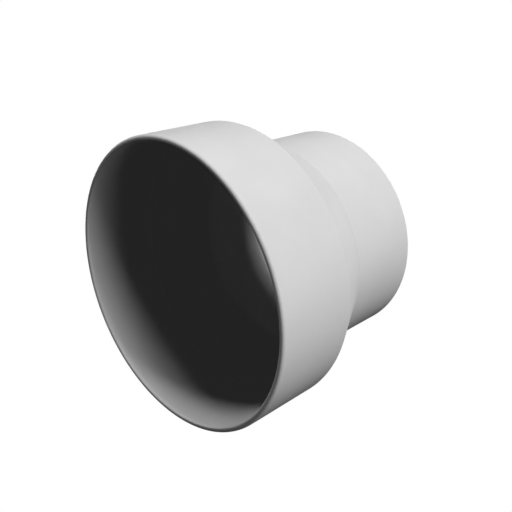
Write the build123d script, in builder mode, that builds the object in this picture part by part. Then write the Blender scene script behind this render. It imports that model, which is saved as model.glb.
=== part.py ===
# Concentric pipe reducer, from 160 mm to 125 mm pipe, in rigid PVC-U with a plain end on each side.
# Three hollow shells are cemented end to end with half-lap joints, so every seam is flush inside and outside.
#
# Frame, in millimetres: +Y runs along the pipe's axis, from the wide mouth towards the narrow end, and +Z
# is up. The origin is the centre of the wide mouth's front plane.
# Every shell is a profile of radius (X) against position along the axis (Y), revolved about Y.

import os
from math import atan2, degrees, tan

from build123d import *

# ---- driving dimensions -------------------------------------------------------------------------------
wide_outer_r = 80.0         # 160 mm pipe
narrow_outer_r = 62.5       # 125 mm pipe
wall = 3.2                  # the same all along the fitting

wide_length = 47.0          # straight part, from the mouth to the back edge
cone_length = 31.0          # from the back edge of the wide collar to the valley
narrow_length = 47.0        # straight part, from the valley to the narrow end

lip_outer_round = 1.6       # round the outside of the mouth's lip
lip_inner_round = 1.0       # round the inside of the mouth's lip
end_round = 0.8             # on both edges of the narrow end
back_edge_round = 4.0       # convex, where the wide collar turns into the cone
valley_round = 6.0          # concave, where the cone runs out into the narrow collar
inner_edge_round = 3.0      # concave, inside the back edge

lap_length = 8.0            # how far each half-lap tongue reaches into its collar
cement_gap = 0.05           # film of cement round a tongue
back_seam_setback = 2.0     # the wide collar ends this far before the back edge
valley_seam_setback = 2.5   # the narrow collar starts this far after the valley

# ---- worked-out dimensions ----------------------------------------------------------------------------
wide_inner_r = wide_outer_r - wall
narrow_inner_r = narrow_outer_r - wall

back_edge_y = wide_length
valley_y = back_edge_y + cone_length
end_y = valley_y + narrow_length

cone_slope = atan2(wide_outer_r - narrow_outer_r, cone_length)
inner_setback = wall * tan(cone_slope / 2)      # keeps the wall even through both bends

back_seam_y = back_edge_y - back_seam_setback
valley_seam_y = valley_y + valley_seam_setback

wide_lap_r = wide_inner_r + wall / 2            # half the wall goes to the tongue, half to the collar
narrow_lap_r = narrow_inner_r + wall / 2


def corner(profile, radius, position):
    """The profile's corner nearest to a place given by its radius and its position along the axis."""
    return profile.vertices().sort_by_distance(Vector(radius, position, 0))[0]


# ---- large collar: the straight ring with the rounded mouth --------------------------------------------
large_collar_outline = [
    (wide_outer_r, 0),
    (wide_outer_r, back_seam_y),
    (wide_lap_r, back_seam_y),
    (wide_lap_r, back_seam_y - lap_length),
    (wide_inner_r, back_seam_y - lap_length),
    (wide_inner_r, 0),
]

with BuildPart() as large_collar:
    with BuildSketch() as profile:
        with BuildLine():
            Polyline(*large_collar_outline, close=True)
        make_face()
        fillet(corner(profile, wide_outer_r, 0), lip_outer_round)
        fillet(corner(profile, wide_inner_r, 0), lip_inner_round)
    revolve(axis=Axis.Y)

# ---- transition cone: the taper, with a tongue at each end ---------------------------------------------
transition_cone_outline = [
    (wide_outer_r, back_seam_y),
    (wide_outer_r, back_edge_y),
    (narrow_outer_r, valley_y),
    (narrow_outer_r, valley_seam_y),
    (narrow_lap_r - cement_gap, valley_seam_y),
    (narrow_lap_r - cement_gap, valley_seam_y + lap_length),
    (narrow_inner_r, valley_seam_y + lap_length),
    (narrow_inner_r, valley_y - inner_setback),
    (wide_inner_r, back_edge_y - inner_setback),
    (wide_inner_r, back_seam_y - lap_length),
    (wide_lap_r - cement_gap, back_seam_y - lap_length),
    (wide_lap_r - cement_gap, back_seam_y),
]

with BuildPart() as transition_cone:
    with BuildSketch() as profile:
        with BuildLine():
            Polyline(*transition_cone_outline, close=True)
        make_face()
        fillet(corner(profile, wide_outer_r, back_edge_y), back_edge_round)
        fillet(corner(profile, narrow_outer_r, valley_y), valley_round)
        fillet(corner(profile, wide_inner_r, back_edge_y - inner_setback), inner_edge_round)
        fillet(corner(profile, narrow_inner_r, valley_y - inner_setback), valley_round + wall)
    revolve(axis=Axis.Y)

# ---- small collar: the straight narrow end --------------------------------------------------------------
small_collar_outline = [
    (narrow_outer_r, valley_seam_y),
    (narrow_outer_r, end_y),
    (narrow_inner_r, end_y),
    (narrow_inner_r, valley_seam_y + lap_length),
    (narrow_lap_r, valley_seam_y + lap_length),
    (narrow_lap_r, valley_seam_y),
]

with BuildPart() as small_collar:
    with BuildSketch() as profile:
        with BuildLine():
            Polyline(*small_collar_outline, close=True)
        make_face()
        fillet(corner(profile, narrow_outer_r, end_y), end_round)
        fillet(corner(profile, narrow_inner_r, end_y), end_round)
    revolve(axis=Axis.Y)

# ---- one STEP file for each shell ------------------------------------------------------------------------
large_collar.part.label = "large_collar"
transition_cone.part.label = "transition_cone"
small_collar.part.label = "small_collar"

os.makedirs("parts", exist_ok=True)
export_step(large_collar.part, "parts/large_collar.step")
export_step(transition_cone.part, "parts/transition_cone.step")
export_step(small_collar.part, "parts/small_collar.step")

print(f"cone slope {degrees(cone_slope):.1f} degrees, overall length {end_y:.1f} mm")
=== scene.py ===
from math import ceil, cos, pi, radians, sin, tan

import bpy
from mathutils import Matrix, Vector


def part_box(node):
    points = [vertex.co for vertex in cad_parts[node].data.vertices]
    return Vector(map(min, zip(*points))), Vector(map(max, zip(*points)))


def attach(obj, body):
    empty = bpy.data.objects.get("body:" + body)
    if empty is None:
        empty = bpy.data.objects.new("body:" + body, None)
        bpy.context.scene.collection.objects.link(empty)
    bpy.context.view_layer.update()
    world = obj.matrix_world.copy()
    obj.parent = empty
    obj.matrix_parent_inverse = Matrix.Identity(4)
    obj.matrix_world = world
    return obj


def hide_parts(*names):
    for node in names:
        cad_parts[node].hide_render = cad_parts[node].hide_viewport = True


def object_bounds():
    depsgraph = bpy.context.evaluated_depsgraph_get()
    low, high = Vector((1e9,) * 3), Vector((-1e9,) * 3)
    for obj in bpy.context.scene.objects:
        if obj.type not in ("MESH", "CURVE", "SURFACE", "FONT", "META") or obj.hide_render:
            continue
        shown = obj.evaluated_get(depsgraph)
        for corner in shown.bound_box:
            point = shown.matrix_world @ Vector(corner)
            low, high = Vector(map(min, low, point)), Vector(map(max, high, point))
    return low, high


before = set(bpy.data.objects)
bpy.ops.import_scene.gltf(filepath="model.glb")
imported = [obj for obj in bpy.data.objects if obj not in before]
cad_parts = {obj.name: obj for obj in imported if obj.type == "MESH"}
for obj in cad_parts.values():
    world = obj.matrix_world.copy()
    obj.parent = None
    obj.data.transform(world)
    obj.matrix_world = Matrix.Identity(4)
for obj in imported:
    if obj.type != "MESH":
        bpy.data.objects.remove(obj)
cad_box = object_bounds()

# ---- the fitting's measures, in metres -------------------------------------------------------------
# The pipe's axis is Y. Every shell is turned about it, so an outline holds (radius, y) corners.

MM = 0.001

collar_low, collar_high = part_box("large_collar")
cone_low, cone_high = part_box("transition_cone")
spigot_low, spigot_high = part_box("small_collar")

wall = 3.2 * MM
wide_outer_r = collar_high.x
narrow_outer_r = spigot_high.x
wide_inner_r = wide_outer_r - wall
narrow_inner_r = narrow_outer_r - wall
wide_lap_r = wide_inner_r + wall / 2
narrow_lap_r = narrow_inner_r + wall / 2
cement_gap = 0.05 * MM

seam_to_edge = 2.0 * MM         # from the wide collar's end to the edge where the cone begins
valley_to_seam = 2.5 * MM       # from the valley where the cone ends to the narrow collar

mouth_y = collar_low.y
wide_tongue_y = cone_low.y
back_seam_y = collar_high.y
back_edge_y = back_seam_y + seam_to_edge
valley_seam_y = spigot_low.y
valley_y = valley_seam_y - valley_to_seam
narrow_tongue_y = cone_high.y
end_y = spigot_high.y

lip_outer_round = 1.6 * MM
lip_inner_round = 1.0 * MM
end_round = 0.8 * MM
back_edge_round = 4.0 * MM
valley_round = 6.0 * MM
inner_edge_round = 3.0 * MM

cone_run = Vector((narrow_outer_r - wide_outer_r, valley_y - back_edge_y))
cone_slope = cone_run.angle(Vector((0, 1)))
inner_setback = wall * tan(cone_slope / 2)      # keeps the cone's wall as thick as the collars'


# ---- turning an outline into a shell ---------------------------------------------------------------

TURN_STEPS = 256            # around the axis: 2 mm apart on the wide collar
ARC_STEP = radians(7.5)     # along a rounded corner
RUN_STEP = 3.0 * MM         # along a straight run
CREASE_ANGLE = radians(35)  # an edge that turns more than this is drawn sharp


def rounded_corner(before, corner, after, radius):
    """The arc that rounds a corner of an outline, as a list of points."""
    back, ahead = (before - corner).normalized(), (after - corner).normalized()
    opening = back.angle(ahead)
    turn = pi - opening
    centre = corner + (back + ahead).normalized() * radius / sin(opening / 2)
    tangent = radius / tan(opening / 2)
    start = corner + back * tangent - centre
    finish = corner + ahead * tangent - centre
    side = 1 if start.x * finish.y - start.y * finish.x > 0 else -1
    steps = max(2, ceil(turn / ARC_STEP))
    points = []
    for i in range(steps + 1):
        a = side * turn * i / steps
        turned = Vector((start.x * cos(a) - start.y * sin(a), start.x * sin(a) + start.y * cos(a)))
        points.append(centre + turned)
    return points


def outline_points(corners):
    """A closed outline's points, from (radius, y) or (radius, y, rounding) corners.

    A straight run between two corners is divided evenly."""
    places = [Vector(c[:2]) for c in corners]
    arcs = []
    for i, corner in enumerate(corners):
        before, after = places[i - 1], places[(i + 1) % len(places)]
        rounded = len(corner) == 3
        arcs.append(rounded_corner(before, places[i], after, corner[2]) if rounded else [places[i]])
    outline = []
    for arc, following in zip(arcs, arcs[1:] + arcs[:1]):
        outline += arc
        run = following[0] - arc[-1]
        pieces = ceil(run.length / RUN_STEP)
        outline += [arc[-1] + run * k / pieces for k in range(1, pieces)]
    return outline


def turned_shell(name, corners):
    """A closed shell of revolution about the Y axis, in quads."""
    outline = outline_points(corners)
    count = len(outline)
    vertices = []
    for step in range(TURN_STEPS):
        a = 2 * pi * step / TURN_STEPS
        vertices += [(p.x * cos(a), p.y, p.x * sin(a)) for p in outline]
    faces = []
    for step in range(TURN_STEPS):
        here, there = step * count, (step + 1) % TURN_STEPS * count
        for i in range(count):
            j = (i + 1) % count
            faces.append((here + i, here + j, there + j, there + i))
    mesh = bpy.data.meshes.new(name)
    mesh.from_pydata(vertices, [], faces)
    mesh.shade_smooth()
    mesh.set_sharp_from_angle(angle=CREASE_ANGLE)
    shell = bpy.data.objects.new(name, mesh)
    bpy.context.scene.collection.objects.link(shell)
    normals = shell.modifiers.new("flat_runs_stay_flat", "WEIGHTED_NORMAL")
    normals.keep_sharp = True
    return shell


# ---- the three shells --------------------------------------------------------------------------------

large_collar = turned_shell("large_collar_shell", [
    (wide_outer_r, mouth_y, lip_outer_round),
    (wide_outer_r, back_seam_y),
    (wide_lap_r, back_seam_y),
    (wide_lap_r, wide_tongue_y),
    (wide_inner_r, wide_tongue_y),
    (wide_inner_r, mouth_y, lip_inner_round),
])

transition_cone = turned_shell("transition_cone_shell", [
    (wide_outer_r, back_seam_y),
    (wide_outer_r, back_edge_y, back_edge_round),
    (narrow_outer_r, valley_y, valley_round),
    (narrow_outer_r, valley_seam_y),
    (narrow_lap_r - cement_gap, valley_seam_y),
    (narrow_lap_r - cement_gap, narrow_tongue_y),
    (narrow_inner_r, narrow_tongue_y),
    (narrow_inner_r, valley_y - inner_setback, valley_round + wall),
    (wide_inner_r, back_edge_y - inner_setback, inner_edge_round),
    (wide_inner_r, wide_tongue_y),
    (wide_lap_r - cement_gap, wide_tongue_y),
    (wide_lap_r - cement_gap, back_seam_y),
])

small_collar = turned_shell("small_collar_shell", [
    (narrow_outer_r, valley_seam_y),
    (narrow_outer_r, end_y, end_round),
    (narrow_inner_r, end_y, end_round),
    (narrow_inner_r, narrow_tongue_y),
    (narrow_lap_r, narrow_tongue_y),
    (narrow_lap_r, valley_seam_y),
])


# ---- material ----------------------------------------------------------------------------------------

DEEP_GREY = (0.609, 0.609, 0.609, 1)
PALE_GREY = (0.631, 0.631, 0.631, 1)
FILLER_GREY = (0.560, 0.560, 0.560, 1)
RUBBED_GREY = (0.690, 0.690, 0.690, 1)

BLOTCH_SIZE = 30 * MM       # slow drift of the pigment through the wall
SINK_SIZE = 14 * MM         # shallow unevenness left by the mould
GRAIN_SIZE = 0.6 * MM       # satin grain of the surface
STREAK_SIZE = 1.2 * MM      # faint streaks along the pipe
SCUFF_SIZE = 2.5 * MM       # patches where the rims have been rubbed
SINK_DEPTH = 0.03 * MM
GRAIN_DEPTH = 0.012 * MM
STREAK_SQUEEZE = 0.03       # the axis is shortened to this share of itself where the streaks are made
RUBBED_WIDTH = 2.2 * MM     # how far the rubbing reaches in from a rim

BLOTCH_EDGES = (0.3, 0.7)   # the noise between these two values becomes the pigment's drift
SPECK_EDGES = (0.62, 0.72)  # only the grain's highest spots are specks
SCUFF_EDGES = (0.42, 0.62)
STREAK_EDGES = (0.35, 0.65)
SPECK_STRENGTH = 0.5
RUBBED_STRENGTH = 0.5
RUBBED_POLISH = 0.14        # a rubbed patch is this much less rough
LEAST_ROUGH = 0.52
MOST_ROUGH = 0.60
PVC_IOR = 1.53
PVC_SPECULAR = 0.12         # low, because the photo's plastic shows almost no gloss
COLOUR_INPUTS = (6, 7)      # the two colour sockets of a Mix node, which share their names with others
COLOUR_OUTPUT = 2


class Recipe:
    """The nodes of one material, with short ways to add and join them."""

    def __init__(self, name):
        self.material = bpy.data.materials.new(name)
        self.material.use_nodes = True
        self.nodes = self.material.node_tree.nodes
        self.links = self.material.node_tree.links
        self.shader = self.nodes["Principled BSDF"]
        self.place = self.nodes.new("ShaderNodeTexCoord").outputs["Object"]

    def noise(self, size, detail, place=None):
        """Soft noise from 0 to 1, with blobs about as large as size."""
        node = self.nodes.new("ShaderNodeTexNoise")
        node.inputs["Scale"].default_value = 1 / size
        node.inputs["Detail"].default_value = detail
        self.links.new(place or self.place, node.inputs["Vector"])
        return node.outputs["Fac"]

    def remap(self, value, edges, low, high):
        """A smooth step from low, where value is at the first edge, to high, where it is at the second."""
        node = self.nodes.new("ShaderNodeMapRange")
        node.interpolation_type = "SMOOTHSTEP"
        self.links.new(value, node.inputs["Value"])
        node.inputs["From Min"].default_value = edges[0]
        node.inputs["From Max"].default_value = edges[1]
        node.inputs["To Min"].default_value = low
        node.inputs["To Max"].default_value = high
        return node.outputs["Result"]

    def math(self, operation, first, second):
        """One sum, difference or product of two values, each a socket or a number."""
        node = self.nodes.new("ShaderNodeMath")
        node.operation = operation
        for socket, value in zip(node.inputs, (first, second)):
            if isinstance(value, (int, float)):
                socket.default_value = value
            else:
                self.links.new(value, socket)
        return node.outputs["Value"]

    def blend(self, amount, first, second):
        """The first colour where amount is 0, and the second where it is 1."""
        node = self.nodes.new("ShaderNodeMix")
        node.data_type = "RGBA"
        self.links.new(amount, node.inputs["Factor"])
        for index, colour in zip(COLOUR_INPUTS, (first, second)):
            if isinstance(colour, tuple):
                node.inputs[index].default_value = colour
            else:
                self.links.new(colour, node.inputs[index])
        return node.outputs[COLOUR_OUTPUT]

    def bump(self, height, depth, under=None):
        """A surface normal raised by height, from 0 to 1, times depth."""
        node = self.nodes.new("ShaderNodeBump")
        node.inputs["Distance"].default_value = depth
        self.links.new(height, node.inputs["Height"])
        if under:
            self.links.new(under, node.inputs["Normal"])
        return node.outputs["Normal"]

    def stretched(self, along):
        """Places with the pipe's axis shortened, so that noise there runs in streaks along the pipe."""
        node = self.nodes.new("ShaderNodeMapping")
        node.inputs["Scale"].default_value = (1, along, 1)
        self.links.new(self.place, node.inputs["Vector"])
        return node.outputs["Vector"]


def grey_pvc(name):
    """Rigid light-grey PVC with a satin grain, drifting pigment, and rims rubbed by handling."""
    recipe = Recipe(name)
    shader, links = recipe.shader, recipe.links

    blotches = recipe.remap(recipe.noise(BLOTCH_SIZE, detail=3), BLOTCH_EDGES, 0, 1)
    grain = recipe.noise(GRAIN_SIZE, detail=2)
    specks = recipe.remap(grain, SPECK_EDGES, 0, SPECK_STRENGTH)
    streaks = recipe.noise(STREAK_SIZE, detail=2, place=recipe.stretched(STREAK_SQUEEZE))

    axes = recipe.nodes.new("ShaderNodeSeparateXYZ")
    links.new(recipe.place, axes.inputs["Vector"])
    at_mouth = recipe.remap(axes.outputs["Y"], (mouth_y, mouth_y + RUBBED_WIDTH), 1, 0)
    at_end = recipe.remap(axes.outputs["Y"], (end_y - RUBBED_WIDTH, end_y), 0, 1)
    scuffs = recipe.remap(recipe.noise(SCUFF_SIZE, detail=4), SCUFF_EDGES, 0, 1)
    rubbed = recipe.math("MULTIPLY", recipe.math("ADD", at_mouth, at_end), scuffs)

    body = recipe.blend(blotches, DEEP_GREY, PALE_GREY)
    speckled = recipe.blend(specks, body, FILLER_GREY)
    worn = recipe.blend(recipe.math("MULTIPLY", rubbed, RUBBED_STRENGTH), speckled, RUBBED_GREY)
    links.new(worn, shader.inputs["Base Color"])

    matt = recipe.remap(streaks, STREAK_EDGES, LEAST_ROUGH, MOST_ROUGH)
    polish = recipe.math("MULTIPLY", rubbed, RUBBED_POLISH)
    links.new(recipe.math("SUBTRACT", matt, polish), shader.inputs["Roughness"])

    sinks = recipe.bump(recipe.noise(SINK_SIZE, detail=1), SINK_DEPTH)
    links.new(recipe.bump(grain, GRAIN_DEPTH, sinks), shader.inputs["Normal"])

    shader.inputs["IOR"].default_value = PVC_IOR
    shader.inputs["Specular IOR Level"].default_value = PVC_SPECULAR
    return recipe.material


pvc = grey_pvc("grey_pvc_moulded")
for shell, node in ((large_collar, "large_collar"), (transition_cone, "transition_cone"),
                    (small_collar, "small_collar")):
    shell.data.materials.append(pvc)
    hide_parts(node)
    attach(shell, "root")


# ---- floor and light ---------------------------------------------------------------------------------

FLOOR_SIZE = 40.0           # so wide that the camera never sees its edge
AMBIENT = 0.026             # the share of its own colour that every surface shows even in the dark
AMBIENT_REACH = 0.5 * MM    # so short that no hollow is shaded from the ambient light


def white_floor(size, z):
    """A plain white floor that shows to the camera and throws no light back up on the fitting."""
    half = size / 2
    mesh = bpy.data.meshes.new("floor")
    corners = [(-half, -half, z), (half, -half, z), (half, half, z), (-half, half, z)]
    mesh.from_pydata(corners, [], [(0, 1, 2, 3)])
    floor = bpy.data.objects.new("floor", mesh)
    bpy.context.scene.collection.objects.link(floor)
    material = bpy.data.materials.new("floor_white")
    material.use_nodes = True
    nodes, links = material.node_tree.nodes, material.node_tree.links
    nodes.clear()
    glow = nodes.new("ShaderNodeEmission")
    output = nodes.new("ShaderNodeOutputMaterial")
    links.new(glow.outputs["Emission"], output.inputs["Surface"])
    mesh.materials.append(material)
    floor.visible_diffuse = False
    floor.visible_glossy = False
    floor.visible_shadow = False


def sun(name, roll, lean, strength, width, highlights=True):
    """A soft lamp, width degrees wide, placed by its direction from the fitting.

    Roll turns it about the axis: 0 is overhead, and 90 is level with the axis on the +X side.
    Lean tips it from there towards the mouth: 90 faces the mouth, and -90 the narrow end."""
    light = bpy.data.lights.new(name, "SUN")
    light.energy = strength
    light.angle = radians(width)
    lamp = bpy.data.objects.new(name, light)
    r, t = radians(roll), radians(lean)
    towards_light = Vector((sin(r) * cos(t), -sin(t), cos(r) * cos(t)))
    lamp.rotation_euler = towards_light.to_track_quat("Z", "Y").to_euler()
    lamp.visible_glossy = highlights
    bpy.context.scene.collection.objects.link(lamp)


def studio_world():
    """A white surround that only the camera sees, and a faint light that reaches every surface alike."""
    world = bpy.data.worlds.new("studio")
    bpy.context.scene.world = world
    world.use_nodes = True
    nodes, links = world.node_tree.nodes, world.node_tree.links
    nodes.clear()
    seen = nodes.new("ShaderNodeBackground")
    seen.inputs["Color"].default_value = (1, 1, 1, 1)
    dark = nodes.new("ShaderNodeBackground")
    dark.inputs["Color"].default_value = (0, 0, 0, 1)
    path = nodes.new("ShaderNodeLightPath")
    mix = nodes.new("ShaderNodeMixShader")
    output = nodes.new("ShaderNodeOutputWorld")
    links.new(path.outputs["Is Camera Ray"], mix.inputs["Fac"])
    links.new(dark.outputs["Background"], mix.inputs[1])
    links.new(seen.outputs["Background"], mix.inputs[2])
    links.new(mix.outputs["Shader"], output.inputs["Surface"])
    world.light_settings.ao_factor = AMBIENT
    world.light_settings.distance = AMBIENT_REACH
    bpy.context.scene.cycles.use_fast_gi = True
    bpy.context.scene.cycles.fast_gi_method = "ADD"


white_floor(FLOOR_SIZE, cad_box[0].z)
studio_world()
sun("main", roll=37, lean=-1, strength=1.20, width=6)
sun("main_wide", roll=38, lean=1, strength=1.80, width=22)
sun("far_side", roll=-42, lean=8, strength=1.05, width=9)
sun("near_side", roll=81, lean=1, strength=0.65, width=18)
sun("behind", roll=0, lean=-90, strength=1.05, width=8, highlights=False)
sun("back_fill", roll=-105, lean=-15, strength=1.1, width=30)

# Diffuse light reaches a surface straight from a lamp only, which keeps the inside as dark as in the photo.
scene = bpy.context.scene
scene.view_settings.view_transform = "Standard"
scene.view_settings.look = "None"
scene.cycles.max_bounces = 4
scene.cycles.diffuse_bounces = 0
scene.cycles.glossy_bounces = 1


# ---- camera ------------------------------------------------------------------------------------------

CAMERA_AZIMUTH = 44.694     # degrees, from in front of the mouth round to its right
CAMERA_ELEVATION = 22.643
CAMERA_DISTANCE = 0.3978    # metres, from the point it aims at
CAMERA_AIM = Vector((0, 0.0632, 0))
LENS_MM = 48.36
SENSOR_MM = 36
NEAREST_SEEN = 0.01
FARTHEST_SEEN = 100

camera_data = bpy.data.cameras.new("camera")
camera_data.lens = LENS_MM
camera_data.sensor_width = SENSOR_MM
camera_data.clip_start = NEAREST_SEEN
camera_data.clip_end = FARTHEST_SEEN
camera = bpy.data.objects.new("camera", camera_data)
a, e = radians(CAMERA_AZIMUTH), radians(CAMERA_ELEVATION)
towards_camera = Vector((sin(a) * cos(e), -cos(a) * cos(e), sin(e)))
camera.location = CAMERA_AIM + towards_camera * CAMERA_DISTANCE
camera.rotation_euler = towards_camera.to_track_quat("Z", "Y").to_euler()
scene.collection.objects.link(camera)
scene.camera = camera
